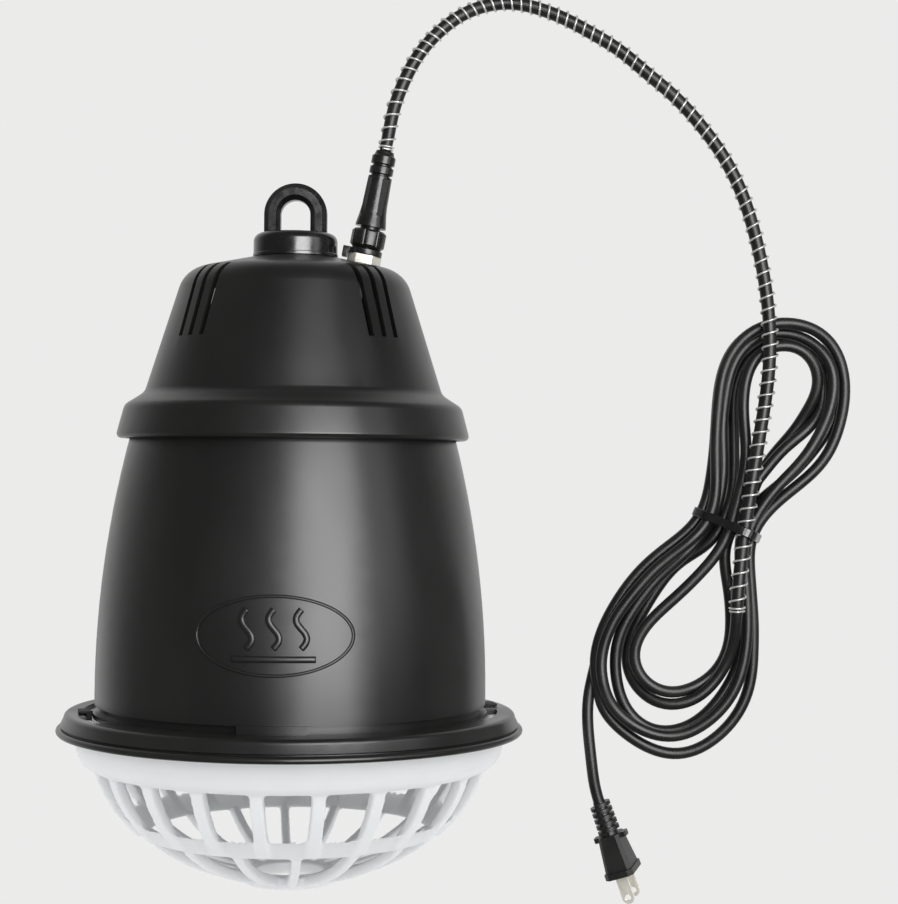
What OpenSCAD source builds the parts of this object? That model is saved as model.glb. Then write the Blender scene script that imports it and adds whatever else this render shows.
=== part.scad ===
// Hanging heat lamp for poultry and small livestock: a moulded housing on a hanging eye, a
// screw-in reflector bulb, a twist-off guard, and a mains lead in a wire armour spring.
// Heights on the lamp are measured up from the underside of its rim bead. The lamp is then
// lowered by hang_h, so that the origin is the point of the eye that rests on the hook.
// The front of the lamp faces -Y and the lead leaves the cap towards +X.

/* [Rim and barrel] */
// Diameter over the rim bead
rim_d = 240.4; // [236:0.1:250]
// Diameter of the barrel at its foot
foot_d = 201.6; // [196:0.1:204]
// Radius of the curve that the barrel's side follows upwards
barrel_curve = 530; // [480:5:620]
// Height of the flange's top face
flange_h = 11; // [10:0.5:13]
// Thickness of the moulded walls
wall = 2.4; // [2:0.1:2.6]

/* [Cap] */
// Diameter of the collar that laps over the barrel
collar_d = 182; // [181:0.5:186]
// Height of the collar's lower edge
collar_h = 151; // [150:0.5:152]
// Taper of the cap's side, in degrees from the vertical
cap_taper = 17.4; // [16:0.1:18]
// Slope of the cap's top, in degrees from the horizontal
cap_slope = 12.2; // [9:0.1:13]
// Vent slots in each of the four groups
vent_count = 3; // [2:1:4]
// Width of a vent slot
vent_w = 3.2; // [1.6:0.1:4]
// Distance between neighbouring vent slots
vent_pitch = 8.2; // [6:0.1:9]

/* [Hanging eye] */
// Diameter of the eye's round base
knob_d = 43.6; // [40:0.1:46]
// Height of the eye's round base
knob_h = 12.4; // [12:0.1:15]
// Width of the opening in the eye
eye_w = 15.4; // [14:0.1:18]
// Thickness of the eye's bar, seen from the front
eye_bar = 8.6; // [7:0.1:9]
// Depth of the eye's bar, front to back
eye_depth = 11; // [9:0.5:13]

/* [Guard] */
// Diameter of the guard's band
guard_d = 222; // [218:0.5:223]
// Depth of the guard's dome below the rim
guard_drop = 79; // [76:0.5:84]
// Ribs between the band and the middle ring
upper_ribs = 21; // [16:1:24]
// Ribs between the middle ring and the small ring
lower_ribs = 16; // [12:1:22]
// Width of an upper rib
upper_rib_w = 6.6; // [5:0.1:8]
// Width of a lower rib
lower_rib_w = 4.8; // [4:0.1:5.2]

/* [Bulb] */
// Largest diameter of the reflector bulb
bulb_d = 127; // [120:1:130]
// Length of the bulb over all
bulb_len = 165; // [150:1:170]

/* [Lead] */
// Diameter of the mains lead
cord_d = 6.1; // [5.8:0.1:6.3]
// Outside diameter of the armour spring
spring_d = 9.2; // [8.8:0.1:9.6]
// Length of the plug's blades
blade_len = 15; // [14:0.5:17]

/* [Hidden] */
$fn = 96;

BLACK = [0.09, 0.095, 0.09];
GLOSS_BLACK = [0.05, 0.05, 0.05];
WHITE = [0.9, 0.91, 0.93];
STEEL = [0.72, 0.72, 0.72];
BRASS = [0.78, 0.62, 0.3];
PORCELAIN = [0.93, 0.92, 0.88];

gap = 0.3;
whole_turn = 360;

// Cap: the side rises from the collar to a rounded shoulder, and the top slopes up to the eye.
cap_wall = wall + 0.2;
cap_foot = [76.8, 175];
shoulder_r = 16;
shoulder_top = 229;
shoulder_edge = cap_foot[0] - (shoulder_top - cap_foot[1]) * tan(cap_taper);
shoulder_c = [shoulder_edge - shoulder_r * cos(cap_taper), shoulder_top - shoulder_r * sin(cap_taper)];
crown_edge = shoulder_c + shoulder_r * [sin(cap_slope), cos(cap_slope)];
crown_r = 22;
cap_top = crown_edge[1] + (crown_edge[0] - crown_r) * tan(cap_slope);
vent_bottom = 202;
vent_inner_r = 50;
boss_x = 76;

// Barrel: its side is upright at the foot and leans in on a large arc towards the neck.
foot_h = 20;
groove_top = 15;
groove_depth = 2.8;
neck_h = collar_h + 1;
neck_top = 164;
neck_r = collar_d / 2 - 4.6;
neck_inner_r = neck_r - 6;
ledge_h = 26;
ledge_r = 93;
bead_r = 1.7;
crest_r = rim_d / 2 - 4;
flange_under = flange_h - wall;
slot_inner_r = 101.6;
slot_locked_r = 107;
slot_entry_r = 110.5;
hook_bearings = [-77, 103];
hook_half = 3.5;

// Hanging eye
knob_bottom = cap_top + gap;
knob_top = knob_bottom + knob_h;
eye_centre = knob_top + 9.6;
hang_h = eye_centre + eye_w / 2;
bolt_r = 5;

// Lampholder and bulb, hung under the cap on a steel strap
strap_h = 220;
strap_hole = 38;
holder_r = 23;
holder_bottom = 160;
shell_r = 13.9;
tip_top = 202;
bulb_face = tip_top - bulb_len;
bulb_cap_r = 13;

// Inlet: it stands on a flat seat, sunk a little into the sloping top of the cap.
inlet_x = 35.2;
inlet_tilt = 10.5;
inlet_h = cap_top - (inlet_x - crown_r) * tan(cap_slope) - 0.3;
inlet_r = 6;
sleeve_start = 19.8;
sleeve_end = 60;

// Guard: the ribs and rings follow an ellipse of revolution below the rim.
dome_r = guard_d / 2 - 7;
band_bottom = -16.5;
middle_top = -41.2;
middle_bottom = -52.2;
small_r = 24.5;
small_hole_r = 17;
small_top = -71.5;
small_bottom = -78;
rib_depth = 6.5;
proud = 1.6;
lip_under = 5.8;

// Lead: round numbers along its route, measured from the hanging point.
exit_dir = [sin(inlet_tilt), 0, cos(inlet_tilt)];
cord_exit = [inlet_x, 0, inlet_h - hang_h] + sleeve_end * exit_dir;
armour_route = concat([cord_exit, cord_exit + 8 * exit_dir], [
    [50, 0, 46.5], [54, 0, 58.5], [59, 0, 69.5], [64.5, 0, 78.5], [72.5, 0, 87.5], [81.5, 0, 95],
    [90.5, 0, 100], [101, 0, 103], [111, 0, 104], [124, 0, 101.5], [138, 0, 96.5], [150.5, 0, 90],
    [167.5, 0, 80], [182, 0, 68], [196.5, 0, 56], [209.5, 0, 42], [221.5, 0, 26], [231.5, 0, 7],
    [238.5, 0, -14], [243.5, 0, -36], [246.5, 0, -58], [247.2, 0, -78], [245.7, 0, -97], [242.3, 0, -120],
    [238, 0, -148], [234.2, 0, -175], [232.4, 0, -193], [231, 0, -212]]);
plain_end = [[230, 2, -225], [228, 7, -236]];
plug_place = [161.2, 12, -313];
plug_lean = 160.2;
plug_turn = 109;
plug_face = 39.5;
plug_axis = [sin(plug_lean), 0, cos(plug_lean)];
tail_route = [[157, 12, -243], [155, 12, -254], [154.5, 12, -268], [155.2, 12, -283],
    [157, 12, -296], [159, 12, -306], plug_place - 4 * plug_axis, plug_place];
hank_front = 5.2;
hank_depth = 18.8;
waist = [228, -167];
waist_r = 18;
tie_tilt = 23;

function arc(centre, r, from, to, steps) =
    [for (i = [0:steps]) let (a = from + (to - from) * i / steps) centre + r * [cos(a), sin(a)]];
function barrel_r(h) = foot_d / 2 - barrel_curve + sqrt(pow(barrel_curve, 2) - pow(h - foot_h, 2));
function dome_at(h, inset = 0) =
    (dome_r - inset) * sqrt(1 - pow(h / (guard_drop - inset), 2));
function unit(v) = v / norm(v);
function heading(p, i) = unit(p[min(i + 1, len(p) - 1)] - p[max(i - 1, 0)]);
function ring(p, i, r, sides) =
    let (d = heading(p, i), side = unit(cross(d, [0, 1, 0])), up = cross(side, d))
    [for (k = [0:sides - 1]) let (a = whole_turn * k / sides) p[i] + r * (cos(a) * side + sin(a) * up)];

module hung() translate([0, 0, -hang_h]) children();
module turned(angles) for (a = angles) rotate(a) children();
module at_inlet() hung() translate([inlet_x, 0, inlet_h]) rotate([0, inlet_tilt, 0]) children();
module at_plug() translate(plug_place) rotate([0, plug_lean, 0]) rotate(plug_turn) children();
module ring_solid(r_in, r_out, from, to) translate([0, 0, from]) difference() {
    cylinder(r = r_out, h = to - from);
    translate([0, 0, -1]) cylinder(r = r_in, h = to - from + 2);
}

// A closed tube of flat-sided rings along a route.
module tube(route, r, sides) {
    last = len(route) - 1;
    polyhedron(
        points = [for (i = [0:last]) each ring(route, i, r, sides)],
        faces = concat(
            [[for (k = [0:sides - 1]) k]],
            [for (i = [0:last - 1]) for (k = [0:sides - 1]) let (n = (k + 1) % sides)
                [i * sides + k, (i + 1) * sides + k, (i + 1) * sides + n, i * sides + n]],
            [[for (k = [sides - 1:-1:0]) last * sides + k]]));
}

// The same tube with a bore, so that its wall lies between two radii.
module hollow_tube(route, r_out, r_in, sides) {
    last = len(route) - 1;
    inner = (last + 1) * sides;
    polyhedron(
        points = concat(
            [for (i = [0:last]) each ring(route, i, r_out, sides)],
            [for (i = [0:last]) each ring(route, i, r_in, sides)]),
        faces = concat(
            [for (i = [0:last - 1]) for (k = [0:sides - 1]) let (n = (k + 1) % sides)
                [i * sides + k, (i + 1) * sides + k, (i + 1) * sides + n, i * sides + n]],
            [for (i = [0:last - 1]) for (k = [0:sides - 1]) let (n = (k + 1) % sides, b = inner)
                [b + i * sides + n, b + (i + 1) * sides + n, b + (i + 1) * sides + k, b + i * sides + k]],
            [for (k = [0:sides - 1]) let (n = (k + 1) % sides) [n, inner + n, inner + k, k]],
            [for (k = [0:sides - 1]) let (n = (k + 1) % sides, e = last * sides)
                [e + k, inner + e + k, inner + e + n, e + n]]));
}

// The bar of the eye is a rectangle with its corners cut off.
module eye_section() {
    w = eye_bar / 2;
    d = eye_depth / 2;
    cut = 2.5;
    polygon([[w - cut, d], [w, d - cut], [w, cut - d], [w - cut, -d], [cut - w, -d], [-w, cut - d],
        [-w, d - cut], [cut - w, d]]);
}

module hanger_eye() color(GLOSS_BLACK) hung() {
    bar_x = (eye_w + eye_bar) / 2;
    knob_r = knob_d / 2;
    edge = 4.5;
    difference() {
        rotate_extrude() polygon(concat(
            [[0, knob_bottom], [knob_r + 0.3, knob_bottom], [knob_r + 0.3, knob_bottom + 1.4],
                [knob_r, knob_bottom + 1.7]],
            arc([knob_r - edge, knob_top - edge], edge, 0, 90, 6),
            [[0, knob_top]]));
        translate([0, 0, knob_bottom - 1]) cylinder(r = bolt_r, h = 9, $fn = 48);
        translate([0, 0, knob_bottom + 5]) cylinder(r = 8, h = 4, $fn = 48);
    }
    for (side = [-1, 1]) translate([side * bar_x, 0, knob_top - 1])
        linear_extrude(eye_centre - knob_top + 1) eye_section();
    translate([0, 0, eye_centre]) rotate([90, 0, 0]) rotate_extrude(angle = 180)
        translate([bar_x, 0]) eye_section();
}

module hanger_bolt() color(STEEL) hung() {
    translate([0, 0, 229]) cylinder(r = bolt_r, h = knob_bottom + 6 - 229, $fn = 48);
    translate([0, 0, knob_bottom + 5]) cylinder(r = 8, h = 4, $fn = 48);
}

module hanger_washer() color(STEEL) hung()
    ring_solid(bolt_r + 0.05, 10.5, cap_top - cap_wall - gap - 1.6, cap_top - cap_wall - gap);

module hanger_nut() color(STEEL) hung() {
    top = cap_top - cap_wall - gap - 1.6;
    translate([0, 0, top - 7]) difference() {
        cylinder(d = 18, h = 7, $fn = 6);
        translate([0, 0, -1]) cylinder(r = bolt_r + 0.05, h = 9, $fn = 48);
    }
}

module cap_shell() {
    collar_r = collar_d / 2;
    inner_foot = 172;
    inner_foot_r = cap_foot[0] + (cap_foot[1] - inner_foot) * tan(cap_taper) - cap_wall;
    inner_r = shoulder_r - cap_wall;
    rotate_extrude() polygon(concat(
        [[neck_r + 0.2, collar_h], [collar_r - 2, collar_h], [collar_r - 0.7, collar_h + 0.6],
            [collar_r, collar_h + 2], [collar_r - 0.1, collar_h + 3], [87.8, 165.8], [87.4, 167],
            [86.7, 168.2], [85.6, 169.2], [79.6, 173], [78, 174.2], [77, 175.4], [76.4, 176.6]],
        arc(shoulder_c, shoulder_r, cap_taper, 90 - cap_slope, 8),
        [[crown_r, cap_top], [bolt_r + 0.07, cap_top], [bolt_r + 0.07, cap_top - cap_wall],
            [crown_r, cap_top - cap_wall]],
        arc(shoulder_c, inner_r, 90 - cap_slope, cap_taper, 8),
        [[inner_foot_r, inner_foot], [neck_r + 0.2, neck_top]]));
}

module cap() color(BLACK) {
    hung() difference() {
        union() {
            cap_shell();
            turned([0:90:270]) translate([boss_x, 0, neck_top]) cylinder(r = 5, h = 7, $fn = 32);
            for (side = [-1, 1]) translate([0, side * strap_hole, strap_h + 2])
                cylinder(r = 5, h = 18, $fn = 32);
        }
        turned([45:90:315]) for (i = [0:vent_count - 1])
            translate([vent_inner_r, (i - (vent_count - 1) / 2) * vent_pitch - vent_w / 2, vent_bottom])
                cube([50, vent_w, 50]);
        turned([0:90:270]) translate([boss_x, 0, neck_top - 1]) cylinder(r = 1.9, h = 6.5, $fn = 24);
        for (side = [-1, 1]) translate([0, side * strap_hole, strap_h + 1])
            cylinder(r = 1.9, h = 13, $fn = 24);
        translate([inlet_x, 0, inlet_h]) rotate([0, inlet_tilt, 0]) {
            translate([0, 0, -8]) cylinder(r = inlet_r + 0.1, h = 16, $fn = 48);
            cylinder(r = 9.4, h = 5, $fn = 64);
        }
    }
}

module barrel_shell() {
    steps = 14;
    outer_foot = crest_r - 2.6;
    rotate_extrude() polygon(concat(
        [[rim_d / 2 - 5.4, 0]],
        arc([rim_d / 2 - bead_r, bead_r], bead_r, -90, 90, 6),
        [[crest_r + 1, 2 * bead_r + 0.2], [crest_r + 1, 4], [crest_r + 1.8, 4.6]],
        arc([outer_foot, flange_h - 2.6], 2.6, 0, 90, 5),
        [[foot_d / 2 - groove_depth, flange_h], [foot_d / 2 - groove_depth, groove_top],
            [foot_d / 2, groove_top]],
        [for (i = [0:steps]) let (h = foot_h + (neck_h - foot_h) * i / steps) [barrel_r(h), h]],
        [[neck_r, neck_h], [neck_r, neck_top], [neck_inner_r, neck_top]],
        [for (i = [steps:-1:0]) let (h = 34 + (neck_h - 34) * i / steps) [barrel_r(h) - wall, h]],
        [[barrel_r(30) - wall, ledge_h + 5], [ledge_r, ledge_h + 3], [ledge_r, ledge_h],
            [barrel_r(ledge_h) - wall, ledge_h], [foot_d / 2 - wall, ledge_h - 4],
            [foot_d / 2 - wall - groove_depth, groove_top + 2],
            [foot_d / 2 - wall - groove_depth, flange_under], [crest_r - wall - 0.3, flange_under]]));
}

// An arc-shaped block between two radii and two heights, from one bearing to another.
// Bearings run from the front of the lamp (-Y) towards +X.
module arc_block(r_in, r_out, from, to, low, high)
    rotate(from - 90) rotate_extrude(angle = to - from) translate([r_in, low])
        square([r_out - r_in, high - low]);

module barrel() color(BLACK) hung() difference() {
    union() {
        barrel_shell();
        for (b = [0, 180]) arc_block(foot_d / 2 - groove_depth - 0.5, foot_d / 2 + 1.6,
            b - 10, b + 8.8, flange_h - 0.5, groove_top + 0.3);
        turned([0:90:270]) translate([boss_x, 0, 156]) cylinder(r = 6, h = neck_top - 156, $fn = 32);
    }
    for (b = [-68, 112]) {
        arc_block(slot_inner_r, slot_locked_r, b - 14, b + 14, 0, flange_h + 2);
        arc_block(slot_inner_r + 3, slot_entry_r, b, b + 13.5, 0, flange_h + 2);
    }
    for (b = [81.5, -98.5]) arc_block(slot_inner_r, slot_locked_r, b - 12.5, b + 12.5, 0, flange_h + 2);
    turned([0:90:270]) translate([boss_x, 0, 150]) cylinder(r = 2.1, h = 20, $fn = 24);
    turned([30:120:270]) translate([95, 0, ledge_h - 1]) cylinder(r = 1.4, h = 3.2, $fn = 24);
}

// A thin oval plate that follows the barrel's curve at the front.
module badge() color(BLACK) hung() intersection() {
    plate_h = 57.4;
    half_w = 38.2;
    half_h = 19.6;
    rotate_extrude() polygon(concat(
        [for (i = [0:6]) let (h = 34 + 46 * i / 6) [barrel_r(h) + 0.02, h]],
        [for (i = [6:-1:0]) let (h = 34 + 46 * i / 6) [barrel_r(h) + 1, h]]));
    translate([-0.8, -60, plate_h]) rotate([90, 0, 0]) linear_extrude(60)
        polygon([for (i = [0:47]) let (a = i * 7.5) [half_w * cos(a), half_h * sin(a)]]);
}

module cap_screws() color(STEEL) hung() turned([0:90:270]) translate([boss_x, 0, 0]) {
    translate([0, 0, 156 - 2.6]) cylinder(r = 3.6, h = 2.6, $fn = 32);
    translate([0, 0, 155]) cylinder(r = 1.9, h = 13.5, $fn = 24);
}

module heat_shield() color([0.82, 0.82, 0.84]) hung() difference() {
    steps = 12;
    mouth = 61;
    top_r = 27;
    rise = 146;
    skin = 0.8;
    rotate_extrude() polygon(concat(
        [[ledge_r + 3, ledge_h - skin], [ledge_r + 3, ledge_h]],
        [for (i = [0:steps]) let (a = 87 * i / steps)
            [top_r + (mouth + skin) * cos(a), ledge_h + rise * sin(a)]],
        [for (i = [steps:-1:0]) let (a = 87 * i / steps)
            [top_r + mouth * cos(a), ledge_h - skin + rise * sin(a)]]));
    turned([30:120:270]) translate([95, 0, ledge_h - 2]) cylinder(r = 1.5, h = 4, $fn = 24);
}

module shield_screws() color(STEEL) hung() turned([30:120:270]) translate([95, 0, ledge_h - 2.2]) {
    translate([0, 0, -0.6]) cylinder(r = 2.4, h = 2, $fn = 24);
    translate([0, 0, 1]) cylinder(r = 1.4, h = 3, $fn = 24);
}

module socket_bracket() color(STEEL) hung() difference() {
    translate([-12, -45, strap_h]) cube([24, 90, 2]);
    for (side = [-1, 1]) translate([0, side * strap_hole, strap_h - 1]) cylinder(r = 2.2, h = 4, $fn = 24);
    for (side = [-1, 1]) translate([0, side * 16, strap_h - 1]) cylinder(r = 1.9, h = 4, $fn = 24);
    translate([0, 0, strap_h - 1]) cylinder(r = 7, h = 4, $fn = 48);
}

module bracket_screws() color(STEEL) hung() for (side = [-1, 1])
    translate([0, side * strap_hole, strap_h - 2.6]) {
        cylinder(r = 3.8, h = 2.6, $fn = 32);
        cylinder(r = 1.9, h = 14, $fn = 24);
    }

module lampholder_body() color(PORCELAIN) hung() difference() {
    rotate_extrude() polygon([[0, holder_bottom], [holder_r + 1.6, holder_bottom],
        [holder_r + 1.6, holder_bottom + 9], [holder_r, holder_bottom + 11], [holder_r, strap_h - 2],
        [holder_r - 2, strap_h], [0, strap_h]]);
    translate([0, 0, holder_bottom - 1]) cylinder(r = shell_r, h = 47, $fn = 64);
    translate([0, 0, holder_bottom - 1]) cylinder(r = shell_r + 4, h = 15, $fn = 64);
    translate([0, 0, holder_bottom]) cylinder(r = 2, h = 56, $fn = 24);
    for (side = [-1, 1]) translate([0, side * 16, strap_h - 10]) cylinder(r = 1.9, h = 12, $fn = 24);
    for (side = [-1, 1]) translate([15, side * 6, 206]) rotate([0, 90, 0]) cylinder(r = 2, h = 12, $fn = 24);
    translate([holder_r - 1.5, -11, 200]) cube([6, 22, 12]);
}

module lampholder_screws() color(STEEL) hung() for (side = [-1, 1]) translate([0, side * 16, strap_h]) {
    translate([0, 0, 2]) cylinder(r = 3.4, h = 2.2, $fn = 32);
    translate([0, 0, -9]) cylinder(r = 1.9, h = 12, $fn = 24);
}

module lampholder_shell() color(BRASS) hung() ring_solid(bulb_cap_r + 0.3, shell_r, 174.5, 197);

module centre_contact() color(BRASS) hung() {
    translate([0, 0, tip_top + gap]) cylinder(r = 5, h = 1, $fn = 48);
    translate([0, 0, tip_top + gap]) cylinder(r = 2, h = 12, $fn = 24);
}

module terminal_screws() color(BRASS) hung() for (side = [-1, 1]) translate([0, side * 6, 206])
    rotate([0, 90, 0]) {
        translate([0, 0, 16]) cylinder(r = 2, h = holder_r - 1.5 - 16, $fn = 24);
        translate([0, 0, holder_r - 1.5]) cylinder(r = 3.4, h = 2.5, $fn = 32);
    }

module internal_leads() color("firebrick") hung() for (side = [-1, 1]) translate([0, side * 6, 206]) {
    corner_x = 33;
    lead_r = 1.3;
    translate([corner_x, 0, 0]) sphere(r = lead_r, $fn = 24);
    translate([corner_x, 0, 0]) cylinder(r = lead_r, h = 21.5, $fn = 24);
    translate([holder_r + 1, 0, 0]) rotate([0, 90, 0])
        cylinder(r = lead_r, h = corner_x - holder_r - 1, $fn = 24);
}

module inlet() color(BLACK) difference() {
    at_inlet() {
        translate([0, 0, -18]) cylinder(r = 9.5, h = 18 - cap_wall - 0.4, $fn = 64);
        translate([0, 0, -4]) cylinder(r = inlet_r, h = 20, $fn = 48);
    }
    at_inlet() for (side = [-1, 1]) translate([0, side * 2.5, -12]) cylinder(r = 1, h = 40, $fn = 24);
    hung() for (side = [-1, 1]) translate([33, side * 6, 200]) cylinder(r = 1.3, h = 28, $fn = 24);
}

module contact_pins() color(BRASS) at_inlet() for (side = [-1, 1]) translate([0, side * 2.5, -12])
    cylinder(r = 1, h = 27, $fn = 24);

module inlet_nut() color([0.85, 0.84, 0.8]) at_inlet() difference() {
    cylinder(d = 18, h = 5, $fn = 6);
    translate([0, 0, -1]) cylinder(r = inlet_r, h = 8, $fn = 48);
}

// A washer above the nut, with a thumb tab that hooks down beside it.
module lock_tab() color(BLACK) at_inlet() difference() {
    union() {
        translate([0, 0, 5]) cylinder(r = 8.6, h = 3, $fn = 48);
        translate([-11.8, -3.5, 5]) cube([6, 7, 3]);
        translate([-11.8, -3.5, 2.4]) cube([3, 7, 4]);
    }
    translate([0, 0, -2]) cylinder(r = inlet_r, h = 12, $fn = 48);
    translate([0, 0, 1]) cylinder(r = 9.8, h = 4, $fn = 48);
}

module coupling_nut() color(BLACK) at_inlet() difference() {
    bottom = 8 + gap;
    top = 18.2;
    lip = 0.8;
    rotate_extrude() polygon([[0, bottom], [7.2, bottom], [9, bottom + 1.8], [9, top - 1.2],
        [7.8, top], [0, top]]);
    translate([0, 0, bottom - 1]) cylinder(r = inlet_r + 0.06, h = top - lip - bottom + 1, $fn = 48);
    translate([0, 0, bottom]) cylinder(r = 5.4, h = 20, $fn = 48);
    turned([35:45:350]) translate([9.3, 0, bottom + 1.5]) cylinder(r = 1.1, h = 12, $fn = 16);
}

module connector_sleeve() color(BLACK) at_inlet() difference() {
    rotate_extrude() polygon([[0, 16], [5.8, 16], [5.8, 17], [5.2, 17], [5.2, sleeve_start],
        [8, sleeve_start], [8, 21], [7, 27], [6.6, 31], [6.2, 46.4], [4.9, 46.8], [4.9, 47.6], [6.2, 48],
        [6.2, 51.4], [5, 52], [5, 52.8], [6.2, 53.2], [6.2, 57], [5.2, 58], [4.6, sleeve_end],
        [0, sleeve_end]]);
    turned([35:90:350]) translate([5.9, -1.9, 26]) cube([3, 3.8, 19.4]);
}

module cord_armoured() color(GLOSS_BLACK) tube(concat(armour_route, plain_end), cord_d / 2, 8);

module armour_spring() color(STEEL) hollow_tube(armour_route, spring_d / 2, cord_d / 2 + 0.3, 8);

module disc(place, r) translate(place) circle(r = r, $fn = 40);

module hank_outline() difference() {
    union() {
        hull() {
            disc([263, -89], 30);
            disc([241, -85], 21);
            disc(waist, waist_r);
        }
        hull() {
            disc(waist, waist_r);
            disc([197, -200], 19);
            disc([190, -243], 34.5);
            disc([205, -251], 38);
        }
    }
    hull() {
        disc([257, -90], 12);
        disc([246, -120], 3);
    }
    hull() {
        disc([203, -229], 21);
        disc([218, -196], 2);
    }
}

module cord_hank() color(GLOSS_BLACK) translate([0, hank_front + hank_depth, 0]) rotate([90, 0, 0])
    linear_extrude(hank_depth) hank_outline();

module cord_tail() color(GLOSS_BLACK) tube(tail_route, cord_d / 2, 8);

module cord_tie() color([0.25, 0.25, 0.25]) {
    inner_w = 2 * waist_r + 2;
    inner_d = hank_front + hank_depth + 5.6;
    band = 1.2;
    translate([waist[0], -5.4, waist[1]]) rotate([0, tie_tilt, 0]) difference() {
        translate([-inner_w / 2 - band, -band, -2.5]) cube([inner_w + 2 * band, inner_d + 2 * band, 5]);
        translate([-inner_w / 2, 0, -4]) cube([inner_w, inner_d, 8]);
    }
}

// A slab across the plug: a rectangle with its corners cut off.
module plug_slab(w, d, z, h, cut = 1.8) translate([0, 0, z]) linear_extrude(h) polygon([
    [w / 2 - cut, d / 2], [w / 2, d / 2 - cut], [w / 2, cut - d / 2], [w / 2 - cut, -d / 2],
    [cut - w / 2, -d / 2], [-w / 2, cut - d / 2], [-w / 2, d / 2 - cut], [cut - w / 2, d / 2]]);

// Strain relief with half rings set in two staggered rows, then the grip with its two wings,
// and the face plate that the blades stand on.
module plug_body() color(BLACK) at_plug() {
    ring_h = 1.9;
    for (side = [0, 1]) for (i = [0:4]) translate([0, 0, 0.6 + 1.6 * side + i * 3.3])
        rotate(180 * side) rotate_extrude(angle = 180, $fn = 48)
            square([5.6 + 0.1 * i, ring_h]);
    cylinder(r1 = 3.3, r2 = 4.4, h = 18.6, $fn = 32);
    translate([-5.2, -1.1, 0]) cube([10.4, 2.2, 18.6]);
    hull() {
        plug_slab(13.5, 11.5, 18, 1);
        plug_slab(19, 14.2, 36, 1);
    }
    plug_slab(6, 18, 18, 2.6, 0.8);
    plug_slab(22.5, 15.6, plug_face - 3.2, 3.2, 2.4);
}

module plug_blades() color([0.86, 0.83, 0.74]) at_plug() for (side = [-1, 1])
    translate([side * 6.35 - 0.75, 0, plug_face]) difference() {
        union() {
            translate([0, -3.2, 0]) cube([1.5, 6.4, blade_len - 3.2]);
            translate([0, 0, blade_len - 3.2]) rotate([0, 90, 0]) cylinder(r = 3.2, h = 1.5, $fn = 48);
        }
        translate([-1, 0, blade_len - 3.4]) rotate([0, 90, 0]) cylinder(r = 1.6, h = 4, $fn = 32);
    }

module bulb_glass() color([0.86, 0.87, 0.88]) hung() {
    steps = 10;
    widest = bulb_face + 27;
    max_r = bulb_d / 2;
    neck = 16;
    cap_edge = 171.5;
    rotate_extrude() polygon(concat(
        [[0, bulb_face]],
        [for (i = [1:steps]) let (a = 90 * i / steps)
            [(max_r - 5) * sin(a), bulb_face + 10 * (1 - cos(a))]],
        arc([max_r - 8, widest - 8], 8, -30, 60, 6),
        [for (i = [1:steps]) let (t = i / steps)
            [neck + (max_r - 2 - neck) * (1 + cos(180 * t)) / 2, widest - 1 + (cap_edge - widest - 7) * t]],
        [[bulb_cap_r - 0.4, cap_edge], [0, cap_edge]]));
}

module bulb_cap() color(BRASS) hung() translate([0, 0, 171.5]) cylinder(r = bulb_cap_r, h = 25, $fn = 64);

module bulb_insulator() color(GLOSS_BLACK) hung() translate([0, 0, 196.5])
    cylinder(r1 = 12, r2 = 5.2, h = 3, $fn = 48);

module bulb_tip() color(STEEL) hung() translate([0, 0, 199.5])
    cylinder(r1 = 4.8, r2 = 3.6, h = tip_top - 199.5, $fn = 48);

// The ribs stand a little proud of the middle ring, and the lower ribs start behind it.
module guard() color(WHITE) hung() {
    band_r = guard_d / 2;
    upper_bearing = -77.6;
    lower_bearing = 7;
    difference() {
        rotate_extrude() polygon([[101.9, flange_under - gap], [band_r, flange_under - gap], [band_r, 0],
            [band_r - 0.5, -4.6], [band_r - 2.1, -10.6], [band_r - 4.2, -14.2], [band_r - 7.5, -16.6],
            [98.3, -17.9], [97.5, -15.5], [103, -13.4], [106.5, -9], [108, -4], [108.5, lip_under],
            [101.9, lip_under]]);
        hook_feet();
    }
    rotate_extrude() polygon([
        [dome_at(middle_top, proud), middle_top], [dome_at(middle_bottom, proud), middle_bottom],
        [dome_at(middle_bottom) - rib_depth, middle_bottom - 0.4],
        [dome_at(middle_top) - rib_depth, middle_top - 3]]);
    ring_solid(small_hole_r, small_r, small_bottom, small_top);
    turned([for (i = [0:upper_ribs - 1]) upper_bearing + whole_turn * i / upper_ribs]) upper_rib();
    turned([for (i = [0:lower_ribs - 1]) lower_bearing + whole_turn * i / lower_ribs]) lower_rib();
}

module upper_rib() rotate([90, 0, 0]) linear_extrude(upper_rib_w, center = true) {
    steps = 5;
    top = -15.8;
    bottom = middle_bottom + 1;
    polygon(concat(
        [for (i = [0:steps]) let (h = top + (bottom - top) * i / steps) [dome_at(h), h]],
        [for (i = [steps:-1:0]) let (h = top + (bottom - top) * i / steps) [dome_at(h) - rib_depth, h]]));
}

module lower_rib() rotate([90, 0, 0]) linear_extrude(lower_rib_w, center = true) {
    steps = 7;
    outer_r = dome_r - proud;
    outer_drop = guard_drop - proud / 2;
    outer_a = acos((dome_at(middle_bottom) - 2.5) / dome_r);
    inner_a = acos((small_hole_r + 2) / dome_r);
    polygon(concat(
        [for (i = [0:steps]) let (a = outer_a + (inner_a - outer_a) * i / steps)
            [outer_r * cos(a), -outer_drop * sin(a)]],
        [for (i = [steps:-1:0]) let (a = outer_a + (inner_a - outer_a) * i / steps)
            [(dome_r - rib_depth) * cos(a), -(guard_drop - rib_depth) * sin(a)]]));
}

module hook_feet() for (b = hook_bearings)
    arc_block(102.4, 105.4, b - hook_half, b + hook_half, lip_under - 1, flange_under - gap);

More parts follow.
